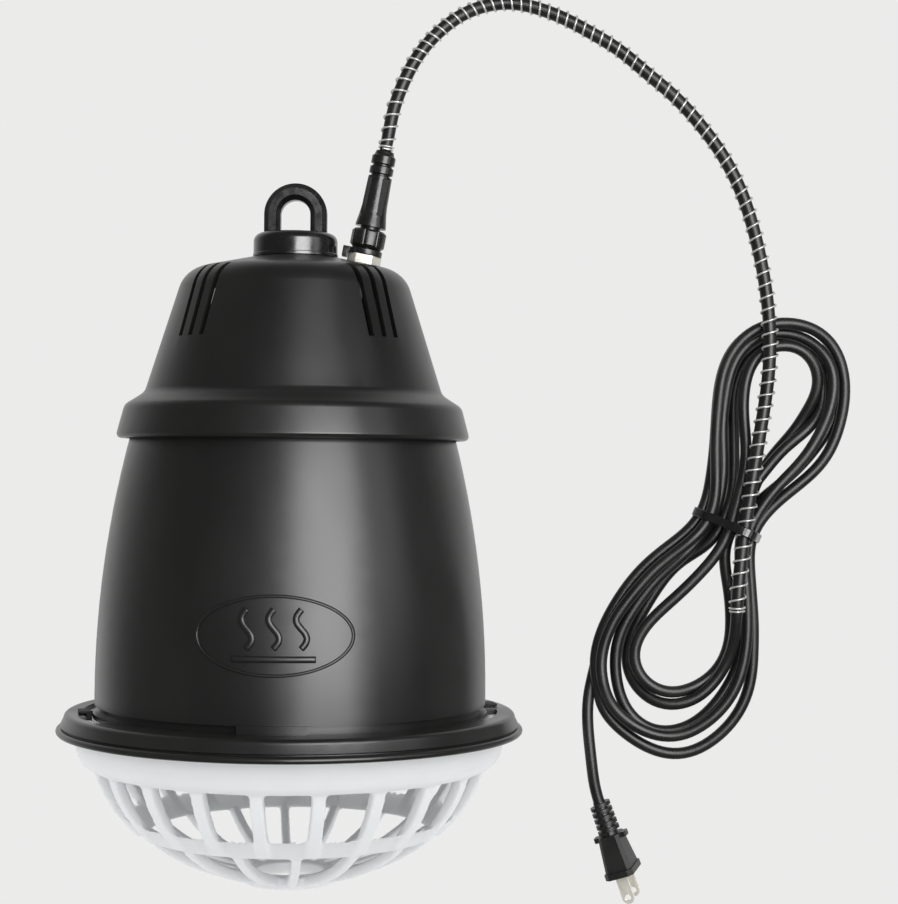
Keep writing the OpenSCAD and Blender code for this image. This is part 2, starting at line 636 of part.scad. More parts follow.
// Two clips set in the guard's lip. Each passes up through a slot in the flange and hooks over it.
module guard_hooks() color(BLACK) hung() for (b = hook_bearings) {
    arc_block(102.4, 105.4, b - hook_half, b + hook_half, lip_under, flange_h + 1.6);
    arc_block(102.4, 109, b - hook_half, b + hook_half, flange_h + gap, flange_h + 1.6);
}

hanger_eye();
hanger_bolt();
hanger_washer();
hanger_nut();
cap();
barrel();
badge();
cap_screws();
heat_shield();
shield_screws();
socket_bracket();
bracket_screws();
lampholder_body();
lampholder_screws();
lampholder_shell();
centre_contact();
terminal_screws();
internal_leads();
inlet();
contact_pins();
inlet_nut();
lock_tab();
coupling_nut();
connector_sleeve();
cord_armoured();
armour_spring();
cord_hank();
cord_tail();
cord_tie();
plug_body();
plug_blades();
bulb_glass();
bulb_cap();
bulb_insulator();
bulb_tip();
guard();
guard_hooks();
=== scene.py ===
# A hanging heat lamp with an armoured lead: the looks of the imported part, in its own frame.
import math
import bpy
import bmesh
import numpy as np
from mathutils import Matrix, Vector


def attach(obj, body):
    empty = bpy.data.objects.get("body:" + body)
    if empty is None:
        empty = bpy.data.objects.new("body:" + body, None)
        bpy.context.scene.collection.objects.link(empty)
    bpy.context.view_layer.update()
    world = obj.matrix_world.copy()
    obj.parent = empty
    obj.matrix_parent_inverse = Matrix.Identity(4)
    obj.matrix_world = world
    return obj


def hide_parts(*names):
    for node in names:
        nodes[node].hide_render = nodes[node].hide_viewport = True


# Lengths are written in millimetres in the row frame and multiplied by MM where Blender needs metres.
MM = 0.001

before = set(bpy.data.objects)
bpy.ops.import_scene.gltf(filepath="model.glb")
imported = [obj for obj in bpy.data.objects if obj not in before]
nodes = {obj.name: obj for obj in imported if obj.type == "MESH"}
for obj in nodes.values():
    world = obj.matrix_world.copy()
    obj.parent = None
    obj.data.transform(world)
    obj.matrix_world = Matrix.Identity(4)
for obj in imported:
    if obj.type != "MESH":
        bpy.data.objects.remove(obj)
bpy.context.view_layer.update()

# ---------------------------------------------------------------------------
# Sizes shared with the model
# ---------------------------------------------------------------------------

# Height of the hanging point above the rim
HANG_H = 275.47
# Where the connector stands on the cap, its lean in degrees and its length
INLET_X = 35.2
INLET_Z = -33.154
INLET_TILT = 10.5
SLEEVE_END = 60.0
# Diameters of the cord, of its sleeve inside the spring, of the spring and of its wire
CORD_D = 6.1
ARMOUR_CORE_D = 6.8
SPRING_D = 9.2
WIRE_D = 1.05
# Middle of the cable tie and its tilt in degrees
WAIST = (227.0, 10.0, -167.0)
TIE_TILT = 23.0
# Top of the plug's strain relief
PLUG_PLACE = (161.2, 12.0, -313.0)
# Split corners closer than this are one corner
SAME_POINT = 0.002


# ---------------------------------------------------------------------------
# Camera
# ---------------------------------------------------------------------------

def make_camera():
    """A long lens in front of the lamp, level with the barrel."""
    data = bpy.data.cameras.new("camera")
    data.sensor_width = 36.0
    data.lens = 79.25
    data.shift_x = -0.0022
    data.clip_end = 20.0
    cam = bpy.data.objects.new("camera", data)
    bpy.context.scene.collection.objects.link(cam)
    look = Matrix.Rotation(math.radians(90.37), 4, "X")
    roll = Matrix.Rotation(math.radians(0.52), 4, "Z")
    cam.matrix_world = Matrix.Translation((0.0818, -1.035, -0.1368)) @ look @ roll
    bpy.context.scene.camera = cam


make_camera()


# ---------------------------------------------------------------------------
# Mesh helpers
# ---------------------------------------------------------------------------

def new_object(name, mesh, body, material=None):
    """An object of a mesh, which moves with a body if one is given."""
    obj = bpy.data.objects.new(name, mesh)
    bpy.context.scene.collection.objects.link(obj)
    if material is not None:
        mesh.materials.append(material)
    if body is not None:
        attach(obj, body)
    return obj


def mesh_from(name, verts, faces, smooth=True):
    """A mesh from points in millimetres."""
    mesh = bpy.data.meshes.new(name)
    mesh.from_pydata([tuple(float(c) * MM for c in v) for v in verts], [], faces)
    mesh.update()
    if smooth:
        mesh.polygons.foreach_set("use_smooth", [True] * len(mesh.polygons))
    return mesh


def band_faces(count, rows, n):
    """Faces between rows of n points, each row closed on itself. The last row may join the first."""
    faces = []
    for i in range(count):
        j = (i + 1) % rows
        for k in range(n):
            m = (k + 1) % n
            faces.append((i * n + k, i * n + m, j * n + m, j * n + k))
    return faces


def frames_along(path):
    """A tangent and two cross directions at each point, carried along without twisting."""
    path = np.asarray(path, float)
    tangent = np.gradient(path, axis=0)
    tangent /= np.linalg.norm(tangent, axis=1)[:, None]
    side = np.cross(tangent[0], (0.0, 1.0, 0.0))
    side /= np.linalg.norm(side)
    sides = []
    for t in tangent:
        side = side - t * np.dot(side, t)
        side = side / np.linalg.norm(side)
        sides.append(side)
    sides = np.array(sides)
    return tangent, sides, np.cross(tangent, sides)


def tube(name, path, radius, sides=12):
    """A closed tube along a path, of one radius or of a radius for each point."""
    path = np.asarray(path, float)
    radius = np.broadcast_to(radius, len(path))[:, None, None]
    _, u, v = frames_along(path)
    angle = np.linspace(0.0, 2.0 * math.pi, sides, endpoint=False)
    ring = np.cos(angle)[None, :, None] * u[:, None, :] + np.sin(angle)[None, :, None] * v[:, None, :]
    verts = (path[:, None, :] + radius * ring).reshape(-1, 3)
    faces = []
    for i in range(len(path) - 1):
        for k in range(sides):
            n = (k + 1) % sides
            faces.append((i * sides + k, i * sides + n, (i + 1) * sides + n, (i + 1) * sides + k))
    last = (len(path) - 1) * sides
    faces.append(tuple(range(sides - 1, -1, -1)))
    faces.append(tuple(range(last, last + sides)))
    return mesh_from(name, verts, faces)


# ---------------------------------------------------------------------------
# The lead's route
# ---------------------------------------------------------------------------

EXIT_DIR = np.array([math.sin(math.radians(INLET_TILT)), 0.0, math.cos(math.radians(INLET_TILT))])
CORD_EXIT = np.array([INLET_X, 0.0, INLET_Z]) + SLEEVE_END * EXIT_DIR

# The armoured part: up out of the cap, over in an arch and down to the bundle.
ARMOUR = [
    (50, 0, 46.5), (54, 0, 58.5), (59, 0, 69.5), (64.5, 0, 78.5), (72.5, 0, 87.5), (81.5, 0, 95),
    (90.5, 0, 100), (101, 0, 103), (111, 0, 104), (124, 0, 101.5), (138, 0, 96.5), (150.5, 0, 90),
    (167.5, 0, 80), (182, 0, 68), (196.5, 0, 56), (209.5, 0, 42), (221.5, 0, 26), (231.5, 0, 7),
    (238.5, 0, -14), (243.5, 0, -36), (246.5, 0, -58), (247.2, 0, -78), (245.7, 0, -97),
    (242.3, 0, -120),
    (238, 0, -148), (234.2, 0, -175), (232.4, 0, -193), (231.3, 0, -208), (231, 0.5, -215)]

# The bundle: each lower turn runs down the right, round the foot and up the left to the tie,
# and each upper turn runs up the left, over the top and down the right to the tie.
LOWER_1 = [
    (232, 3, -223), (231, 6, -231), (227, 8.5, -242), (221, 9, -250), (213, 9, -257), (204, 9, -261),
    (195, 10, -261), (188, 12, -258), (182, 15, -252), (178, 19, -244), (177, 20.5, -236),
    (180, 20.5, -226), (186, 20.5, -213), (194, 20, -200), (204, 18, -187), (214, 16, -179),
    (221, 14.5, -173)]
UPPER_1 = [
    (227, 14.4, -166), (231, 17, -155), (233, 20, -143), (233, 20.5, -127), (233, 20.5, -113),
    (233, 20.5, -98), (237, 20.5, -85), (244, 20.5, -76), (254, 20, -71), (263, 20, -70),
    (271, 19.5, -74), (278, 19, -83), (279, 18.5, -93), (277, 17, -105), (269, 15, -117),
    (259, 14.4, -126), (250, 14.4, -137), (242, 14.4, -148), (235, 14.4, -159)]
LOWER_2 = [
    (228, 14.4, -178), (228, 14.4, -189), (230, 14.4, -199), (231, 14.4, -209), (231, 14.4, -219),
    (231, 14.4, -228), (228, 14.4, -237), (223, 14.4, -245), (216, 13, -251), (207, 11, -254),
    (201, 9, -255), (194, 8.3, -254), (188, 8.3, -251), (183, 8.3, -245), (180, 8.3, -239),
    (180, 8.3, -233), (185, 8.3, -222), (193, 8.3, -213), (205, 8.3, -202), (218, 8.3, -188),
    (225, 8.3, -179)]
UPPER_2 = [
    (230, 8.3, -167), (232, 8.3, -159), (235, 8.3, -148), (237, 8.3, -138), (238, 8.3, -127),
    (237, 8.3, -117), (236, 8.3, -107), (237, 8.3, -96), (240, 8.3, -83), (246, 8.3, -76),
    (254, 8.3, -73), (261, 9, -73), (269, 10, -76), (274, 11, -83), (276, 13, -92), (275, 15, -101),
    (271, 17, -110), (262, 19, -121), (253, 20.5, -131), (245, 20.5, -146), (239.5, 20.5, -160)]
LOWER_3 = [
    (237, 20.5, -175), (237, 20.5, -188), (238, 19, -202), (238, 17, -217), (237, 15, -230),
    (235, 14, -242), (229, 13.5, -253), (222, 13, -263), (213, 14, -271), (204, 14.4, -275),
    (194, 14.4, -276), (184, 14.4, -272), (178, 14.4, -266), (174, 14.4, -259), (172, 14.4, -251),
    (171, 14.4, -244), (171, 14.4, -234), (173, 14.4, -225), (177, 14.4, -217), (185, 14.4, -205),
    (196, 14.4, -192), (208, 14.4, -183), (216, 14.4, -175)]
UPPER_3 = [
    (222, 14.4, -165), (224, 14, -154), (226, 14, -143), (226, 14, -128), (226, 14.4, -113),
    (228, 14.4, -98), (231, 14.4, -84), (238, 14.4, -73), (248, 14.4, -67), (259, 14.4, -66),
    (269, 13, -69), (278, 11, -76), (283, 9, -86), (283, 8.3, -98), (280, 8.3, -110),
    (274, 8.3, -123), (264, 8.3, -137), (253, 8.3, -148), (245, 8.3, -160), (239.5, 8.3, -170)]
LOWER_4 = [
    (238, 8.3, -177), (237.5, 8.3, -188), (238.5, 8.3, -201), (239, 8.3, -212), (239, 8.3, -227),
    (237, 8.3, -240), (234, 8.3, -250), (228, 8.3, -261), (218, 8.3, -270), (209, 8.3, -276),
    (199, 8.3, -278), (188, 8.3, -276), (180, 8.3, -272), (172, 8.3, -266), (166, 8.3, -258),
    (163, 8.3, -249), (163, 8.3, -237), (165, 8.3, -228), (169, 8.3, -218), (175, 8.3, -209),
    (184, 8.3, -198), (193, 8.3, -188), (209, 8.3, -176)]
UPPER_4 = [
    (219, 8.3, -163), (222, 8.3, -149), (222, 8.3, -138), (222, 8.3, -128), (222, 8.3, -117),
    (223, 8.3, -107), (224, 8.3, -96), (226, 8.3, -85), (232, 8.3, -74), (240, 8.3, -66),
    (249, 8.3, -62), (260, 9, -61), (271, 11, -63), (281, 13, -69), (287, 14.4, -78),
    (290, 14.4, -90), (290, 14.4, -103), (287, 14.4, -116), (282, 14.4, -129), (273, 14.4, -140),
    (261, 14.4, -150), (249.5, 14.4, -161), (242.5, 14.4, -172)]
LOWER_5 = [
    (241, 14.4, -178), (241, 14.4, -189), (242, 14.4, -199), (242, 14.4, -209), (243, 14.4, -222),
    (243, 14.4, -236), (242, 14.4, -249), (239, 14.4, -259), (233, 14.4, -270), (225, 14.4, -278),
    (215, 14.4, -285), (203, 14.4, -288), (192, 14.4, -286), (182, 14.4, -281), (175, 14.4, -276),
    (167, 14.4, -268), (162, 14.4, -260), (160, 14.4, -249), (160, 14.4, -241), (162, 14.4, -228),
    (166, 14.4, -218), (172, 14.4, -207), (179, 14.4, -197), (188, 14.4, -187), (199, 14.4, -178)]
UPPER_5 = [
    (214, 14.4, -164), (219, 14.4, -149), (222, 17, -136), (223, 19, -122), (224, 20.5, -108),
    (225, 20.5, -96), (228, 20.5, -83), (234, 20.5, -72), (243, 20.5, -65), (254, 20.5, -61),
    (264, 20.5, -61), (275, 20.5, -63), (283, 20.5, -70), (288, 20.5, -80), (289, 20.5, -91),
    (288, 20.5, -104), (283, 20.5, -116), (274, 20.5, -129), (264, 20.5, -140), (252, 20.5, -150),
    (242, 20.5, -157)]
# The last turn crosses behind the tie to the left and hangs down as the tail.
TAIL = [
    (233, 20.5, -163), (225, 20.5, -171), (217, 20.5, -175), (206, 20.5, -180), (192, 20.5, -187),
    (179, 20.5, -198), (172, 20.5, -208), (167, 20.5, -218), (162, 20.5, -230), (160, 20.5, -242),
    (157, 18, -250), (155.5, 16, -260), (155, 14, -271), (156, 13, -282), (157.5, 12, -295),
    (159, 12, -305), PLUG_PLACE, (162.2, 12, -315.8)]


# The bundle's turns in their order, moved sideways, and the depth they may take up
BUNDLE = [LOWER_1, UPPER_1, LOWER_2, UPPER_2, LOWER_3, UPPER_3, LOWER_4, UPPER_4, LOWER_5, UPPER_5]
BUNDLE_SHIFT = -1.3
BUNDLE_DEPTH = 22.5
# Where the spring ends, and the spacing of the route's points
ARMOUR_END = (231.1, 0.2, -212.0)
ROUTE_STEP = 3.0
# Share of a kink that one round takes out, and the rounds that lay the turns side by side
EASING = 0.35
SETTLING_ROUNDS = 250


def run_along(line):
    """The distance along a line from its start to each of its points."""
    return np.concatenate([[0.0], np.cumsum(np.linalg.norm(np.diff(line, axis=0), axis=1))])


def points_at(where, run, line):
    """Points of a line at the given distances from its start."""
    return np.stack([np.interp(where, run, line[:, k]) for k in range(line.shape[1])], axis=1)


def between(u, start, end, a, b):
    """A point on the way from a to b, as u goes from start to end."""
    return (end - u) / (end - start) * a + (u - start) / (end - start) * b


def smooth_line(points, step):
    """Evenly spaced points on a smooth curve through the given ones."""
    p = np.asarray(points, float)
    p = np.vstack([2 * p[0] - p[1], p, 2 * p[-1] - p[-2]])
    t = np.concatenate([[0.0], np.cumsum(np.sqrt(np.linalg.norm(np.diff(p, axis=0), axis=1)))])
    out = []
    for i in range(1, len(p) - 2):
        for u in np.linspace(t[i], t[i + 1], 24, endpoint=False):
            a1 = between(u, t[i - 1], t[i], p[i - 1], p[i])
            a2 = between(u, t[i], t[i + 1], p[i], p[i + 1])
            a3 = between(u, t[i + 1], t[i + 2], p[i + 1], p[i + 2])
            b1 = between(u, t[i - 1], t[i + 1], a1, a2)
            b2 = between(u, t[i], t[i + 2], a2, a3)
            out.append(between(u, t[i], t[i + 1], b1, b2))
    out.append(p[-2])
    line = np.array(out)
    run = run_along(line)
    return points_at(np.linspace(0.0, run[-1], int(round(run[-1] / step)) + 1), run, line)


def kinks(line):
    """How far each point stands off the curve that its neighbours make."""
    lap = np.zeros_like(line)
    lap[1:-1] = (line[:-2] + line[2:]) / 2 - line[1:-1]
    stiff = np.zeros_like(line)
    stiff[2:-2] = (lap[1:-3] + lap[3:-1]) / 2 - lap[2:-2]
    return stiff


def bend_softly(line, held, rounds=60):
    """Takes the kinks out of a line: each round moves a point towards its neighbours' own curve."""
    x = line.copy()
    for _ in range(rounds):
        x -= np.where(held, 0.0, EASING)[:, None] * kinks(x)
    return x


def settle(line, held, radius, rounds):
    """Lays the turns side by side: where two are closer than their thickness, both give way."""
    home = line.copy()
    x = line.copy()
    free = np.where(held, 0.0, 1.0)[:, None]
    first, second = np.triu_indices(len(x), 8)
    near = np.linalg.norm(x[first] - x[second], axis=1) < 30.0
    first = first[near]
    second = second[near]
    need = radius[first] + radius[second]
    for _ in range(rounds):
        apart = x[second] - x[first]
        dist = np.linalg.norm(apart, axis=1)
        hit = dist < need
        a = first[hit]
        b = second[hit]
        push = apart[hit] * (0.5 * (need[hit] - dist[hit]) / np.maximum(dist[hit], 0.001))[:, None]
        move = np.zeros_like(x)
        count = np.zeros(len(x))
        np.add.at(move, b, push)
        np.add.at(move, a, -push)
        np.add.at(count, a, 1)
        np.add.at(count, b, 1)
        x += free * 1.2 * move / np.maximum(count, 1)[:, None]
        x -= free * EASING * kinks(x)
        x += free * 0.01 * (home - x)
        x[:, 1] = np.where(held, x[:, 1], np.clip(x[:, 1], 0.0, BUNDLE_DEPTH))
    return x


def lead_route():
    """The whole lead's centreline, and the index at which the armour ends."""
    points = [tuple(CORD_EXIT), tuple(CORD_EXIT + 8 * EXIT_DIR)] + ARMOUR
    for turn in BUNDLE:
        points += [(x + BUNDLE_SHIFT, y, z) for x, y, z in turn]
    line = smooth_line(points + TAIL, ROUTE_STEP)
    armour_end = int(np.linalg.norm(line[:250] - np.array(ARMOUR_END), axis=1).argmin())
    index = np.arange(len(line))
    line = bend_softly(line, (index < 4) | (index > len(line) - 6))
    held = (index <= armour_end) | (index > len(line) - 24)
    radius = np.where(index <= armour_end, SPRING_D / 2 + 0.1, CORD_D / 2 + 0.03)
    return settle(line, held, radius, SETTLING_ROUNDS), armour_end


route, armour_end = lead_route()


def make_lead():
    """The whole lead as one tube, thicker inside the spring."""
    index = np.arange(len(route))
    thick = np.interp(index, [0, 3, armour_end - 2, armour_end + 1],
                      [CORD_D, ARMOUR_CORE_D, ARMOUR_CORE_D, CORD_D])
    obj = new_object("lead", tube("lead", route, thick / 2, 16), "housing")
    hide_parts("cord_armoured", "cord_hank", "cord_tail")
    return obj


lead = make_lead()


# ---------------------------------------------------------------------------
# Armour spring and cable tie
# ---------------------------------------------------------------------------

# Distance between the spring's turns, in pairs of distance from its start and pitch. The last
# pairs are measured back from its end.
SPRING_PITCH = [
    (0.0, 1.4), (3.0, 1.4), (5.0, 6.8), (35.0, 6.5), (46.0, 5.7), (60.0, 5.1), (110.0, 5.0),
    (150.0, 5.1), (175.0, 5.3), (200.0, 5.7), (240.0, 6.1), (330.0, 6.3), (480.0, 6.9)]
SPRING_FOOT = [(-5.0, 6.9), (-3.5, 1.5), (0.0, 1.5)]
# The cord lies against the inner side of its bends, so the spring stands off by this much outside.
SPRING_LIFT = 0.15
COIL_STEP = 0.27
WIRE_STEP = 1.3


def make_spring():
    """An open helix of wire round the armoured part, with two close turns at each end."""
    line = route[: armour_end + 1]
    run = run_along(line)
    end = run[-1]
    fine = np.arange(1.0, end - 0.6, COIL_STEP)
    centre = points_at(fine, run, line)
    along, u, v = frames_along(smooth_helix_line(centre))
    outward = np.stack([-along[:, 2], np.zeros(len(along)), along[:, 0]], axis=1)
    lift = np.interp(fine, [0.0, 12.0, 30.0, end - 30.0, end - 10.0],
                     [0.0, 0.0, SPRING_LIFT, SPRING_LIFT, 0.0])
    centre = centre + lift[:, None] * outward
    table = SPRING_PITCH + [(end + place, pitch) for place, pitch in SPRING_FOOT]
    pitch = np.interp(fine, [place for place, _ in table], [value for _, value in table])
    turn = np.cumsum(COIL_STEP * 2.0 * math.pi / pitch)
    coil_r = (SPRING_D - WIRE_D) / 2
    coil = centre + coil_r * (np.cos(turn)[:, None] * u + np.sin(turn)[:, None] * v)
    wire_run = run_along(coil)
    coil = points_at(np.arange(0.0, wire_run[-1], WIRE_STEP), wire_run, coil)
    obj = new_object("armour_wire", tube("armour_wire", coil, WIRE_D / 2, 8), "housing")
    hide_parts("armour_spring")
    return obj


def smooth_helix_line(line):
    """Light smoothing, so that the coil's frame turns evenly."""
    x = line.copy()
    for _ in range(20):
        x[1:-1] = (x[:-2] + 2 * x[1:-1] + x[2:]) / 4
    return x


def make_tie():
    """A flat band pulled round the bundle and the armour."""
    along = np.array([math.cos(math.radians(TIE_TILT)), 0.0, -math.sin(math.radians(TIE_TILT))])
    normal = np.array([math.sin(math.radians(TIE_TILT)), 0.0, math.cos(math.radians(TIE_TILT))])
    centre = np.array(WAIST)
    rel = route - centre
    height = rel @ normal
    close = (np.abs(height) < 4.0) & (np.linalg.norm(rel, axis=1) < 30.0)
    cloud = []
    for i in np.nonzero(close)[0]:
        r = (SPRING_D if i <= armour_end else CORD_D) / 2 + 0.15
        for a in np.linspace(0.0, 2.0 * math.pi, 16, endpoint=False):
            cloud.append((rel[i] @ along + r * math.cos(a), route[i][1] + r * math.sin(a)))
    outline = convex(cloud)
    ring = np.array(outline + outline[:1])
    run = run_along(ring)
    ring = points_at(np.linspace(0.0, run[-1], 72, endpoint=False), run, ring)
    for _ in range(2):
        ring = (np.roll(ring, 1, axis=0) + 2 * ring + np.roll(ring, -1, axis=0)) / 4
    out = np.roll(ring, -1, axis=0) - np.roll(ring, 1, axis=0)
    out = np.stack([out[:, 1], -out[:, 0]], axis=1)
    out /= np.linalg.norm(out, axis=1)[:, None]
    if ((ring - ring.mean(axis=0)) * out).sum() < 0:
        out = -out
    section = [(0.0, -2.3), (0.0, 2.3), (0.8, 2.3), (1.1, 1.9), (1.1, -1.9), (0.8, -2.3)]
    verts = []
    for i in range(len(ring)):
        for depth, lift in section:
            p = ring[i] + (0.1 + depth) * out[i]
            q = centre + along * p[0] + normal * lift
            verts.append((q[0], p[1], q[2]))
    faces = band_faces(len(ring), len(ring), len(section))
    mesh = mesh_from("tie_band", verts, faces, smooth=False)
    fix_normals(mesh)
    obj = new_object("tie_band", mesh, "housing")
    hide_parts("cord_tie")
    return obj


def convex(points):
    """The convex outline of a set of flat points."""
    pts = sorted(set((round(a, 3), round(b, 3)) for a, b in points))

    def half(items):
        chain = []
        for p in items:
            while len(chain) > 1 and cross(chain[-2], chain[-1], p) <= 0:
                chain.pop()
            chain.append(p)
        return chain[:-1]

    return half(pts) + half(pts[::-1])


def cross(o, a, b):
    """Above zero where the way from o over a to b turns left."""
    return (a[0] - o[0]) * (b[1] - o[1]) - (a[1] - o[1]) * (b[0] - o[0])


def fix_normals(mesh):
    """Turns every face of a closed mesh outward."""
    bm = bmesh.new()
    bm.from_mesh(mesh)
    bmesh.ops.recalc_face_normals(bm, faces=bm.faces)
    bm.to_mesh(mesh)
    bm.free()


spring = make_spring()
tie = make_tie()


# ---------------------------------------------------------------------------
# Guard: the CAD shape with its moulded edges and corners rounded off
# ---------------------------------------------------------------------------

def baked(obj):
    """Puts the result of an object's modifiers into its mesh."""
    graph = bpy.context.evaluated_depsgraph_get()
    mesh = bpy.data.meshes.new_from_object(obj.evaluated_get(graph))
    obj.modifiers.clear()
    obj.data = mesh
    mesh.name = obj.name
    mesh.polygons.foreach_set("use_smooth", [True] * len(mesh.polygons))


def clean_copy(node_name, name, body):
    """A copy of a CAD node's mesh with its split corners joined."""
    mesh = nodes[node_name].data.copy()
    mesh.name = name
    mesh.materials.clear()
    if mesh.has_custom_normals:
        mesh.attributes.remove(mesh.attributes["custom_normal"])
    bm = bmesh.new()
    bm.from_mesh(mesh)
    bmesh.ops.remove_doubles(bm, verts=bm.verts, dist=SAME_POINT * MM)
    bm.to_mesh(mesh)
    bm.free()
    obj = new_object(name, mesh, body)
    obj.matrix_world = nodes[node_name].matrix_world.copy()
    return obj


# Grain of the guard's mesh, and the rounds of smoothing that soften its edges
GUARD_GRAIN = 0.75
GUARD_ROUNDS = 14


def make_guard():
    """The guard with its edges and inner corners softened."""
    obj = clean_copy("guard", "guard_moulding", "guard")
    remesh = obj.modifiers.new("remesh", "REMESH")
    remesh.mode = "VOXEL"
    remesh.voxel_size = GUARD_GRAIN * MM
    smooth = obj.modifiers.new("smooth", "SMOOTH")
    smooth.factor = 0.5
    smooth.iterations = GUARD_ROUNDS
    baked(obj)
    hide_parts("guard")
    return obj


guard = make_guard()


# ---------------------------------------------------------------------------
# Small rounded edges on the moulded and cast parts
# ---------------------------------------------------------------------------

EDGE_WIDTHS = {
    "cap": 0.5, "barrel": 0.5, "hanger_eye": 0.9, "coupling_nut": 0.35, "connector_sleeve": 0.3,
    "lock_tab": 0.4, "inlet_nut": 0.4, "plug_body": 0.35, "plug_blades": 0.2, "guard_hooks": 0.4}


def round_edges(name, width, segments=2, angle=32.0):
    """Joins the mesh's split corners, then rounds its sharp edges, by modifiers alone."""
    obj = nodes[name]
    weld = obj.modifiers.new("weld", "WELD")
    weld.merge_threshold = SAME_POINT * MM
    bevel = obj.modifiers.new("bevel", "BEVEL")
    bevel.width = width * MM
    bevel.segments = segments
    bevel.limit_method = "ANGLE"
    bevel.angle_limit = math.radians(angle)
    bevel.use_clamp_overlap = True
    normals = obj.modifiers.new("normals", "WEIGHTED_NORMAL")
    normals.keep_sharp = False


for name, width in EDGE_WIDTHS.items():
    if name in nodes:
        round_edges(name, width)


# ---------------------------------------------------------------------------
# Badge: an embossed oval with a plain heat sign of three wavy lines over a bar
# ---------------------------------------------------------------------------

# Middle of the badge, across and above the rim, and half its width and height
BADGE_X = -0.8
BADGE_H = 57.4
BADGE_HALF = (38.2, 19.6)
# Height and width of the badge's raised rim, and of the lines of its sign
RIM_BEAD = (0.75, 1.7)
SIGN_BEAD = (0.8, 3.4)
# The barrel's radius and height at the foot of its curved side, and the radius of that curve
FOOT_R = 100.8
FOOT_H = 20.0
BARREL_CURVE = 530.0


def barrel_point(x, h, lift):
    """A point above the front of the barrel's side, x to the right and h above the rim."""
    r = FOOT_R - BARREL_CURVE + math.sqrt(BARREL_CURVE ** 2 - (h - FOOT_H) ** 2) + lift
    return (x, -math.sqrt(r * r - x * x), h - HANG_H)


def relief(outline, height, width):
    """A raised bead with sloping sides along an outline on the barrel's face, closed or open."""
    flat = np.asarray(outline, float)
    closed = np.allclose(flat[0], flat[-1])
    if closed:
        flat = flat[:-1]
    step = np.roll(flat, -1, axis=0) - np.roll(flat, 1, axis=0) if closed else np.gradient(flat, axis=0)
    step /= np.linalg.norm(step, axis=1)[:, None]
    side = np.stack([step[:, 1], -step[:, 0]], axis=1)
    section = [
        (-1.0, -0.3), (-0.85, 0.35), (-0.45, 0.92), (0.0, 1.0), (0.45, 0.92), (0.85, 0.35), (1.0, -0.3)]
    verts = []
    for i in range(len(flat)):
        for across, up in section:
            p = flat[i] + side[i] * across * width / 2
            verts.append(barrel_point(p[0], p[1], up * height))
    n = len(section)
    count = len(flat) if closed else len(flat) - 1
    faces = band_faces(count, len(flat), n)
    if not closed:
        faces.append(tuple(range(n)))
        faces.append(tuple(range(len(verts) - 1, len(verts) - n - 1, -1)))
    return verts, faces


def joined(name, parts):
    """One mesh of several parts."""
    verts = []
    faces = []
    for v, f in parts:
        base = len(verts)
        verts += v
        faces += [tuple(base + i for i in face) for face in f]
    mesh = mesh_from(name, verts, faces)
    fix_normals(mesh)
    return mesh


def oval(grow, steps=120):
    """The badge's outline, set out by a distance."""
    half_w = BADGE_HALF[0] + grow
    half_h = BADGE_HALF[1] + grow
    return [(BADGE_X + half_w * math.cos(a), BADGE_H + half_h * math.sin(a))
            for a in np.linspace(0.0, 2.0 * math.pi, steps + 1)]


def heat_wave(x, low, high, sway):
    """An upright line that sways to both sides."""
    t = np.linspace(0.0, 1.0, 40)
    return np.stack([BADGE_X + x + sway * np.sin(2.0 * math.pi * t), low + (high - low) * t], axis=1)


def make_badge():
    """A raised oval rim round three waves and a bar."""
    parts = [relief(oval(-0.9), *RIM_BEAD)]
    for x in (-13.0, 0.0, 13.0):
        parts.append(relief(heat_wave(x, BADGE_H - 6.0, BADGE_H + 12.5, 2.6), *SIGN_BEAD))
    bar_x = np.linspace(BADGE_X - 20.0, BADGE_X + 20.0, 50)
    bar = np.stack([bar_x, np.full(50, BADGE_H - 11.0)], axis=1)
    parts.append(relief(bar, *SIGN_BEAD))
    obj = new_object("badge_relief", joined("badge_relief", parts), "housing")
    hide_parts("badge")
    return obj


badge = make_badge()


# ---------------------------------------------------------------------------
# Materials
# ---------------------------------------------------------------------------

def material(name, colour, roughness, metallic=0.0, specular=0.5, coat=0.0, coat_roughness=0.1):
    mat = bpy.data.materials.new(name)
    mat.use_nodes = True
    shader = mat.node_tree.nodes["Principled BSDF"]
    shader.inputs["Base Color"].default_value = (*colour, 1.0)
    shader.inputs["Roughness"].default_value = roughness
    shader.inputs["Metallic"].default_value = metallic
    shader.inputs["Specular IOR Level"].default_value = specular
    shader.inputs["Coat Weight"].default_value = coat
    shader.inputs["Coat Roughness"].default_value = coat_roughness
    return mat


def noise(mat, scale, detail=4.0, rough=0.55, stretch=(1.0, 1.0, 1.0)):
    """A noise in the object's own space. The scale is in cells per metre."""
    tree = mat.node_tree
    coords = tree.nodes.new("ShaderNodeTexCoord")
    mapping = tree.nodes.new("ShaderNodeMapping")
    mapping.inputs["Scale"].default_value = stretch
    texture = tree.nodes.new("ShaderNodeTexNoise")
    texture.inputs["Scale"].default_value = scale
    texture.inputs["Detail"].default_value = detail
    texture.inputs["Roughness"].default_value = rough
    tree.links.new(coords.outputs["Object"], mapping.inputs["Vector"])
    tree.links.new(mapping.outputs["Vector"], texture.inputs["Vector"])
    return texture.outputs["Fac"]


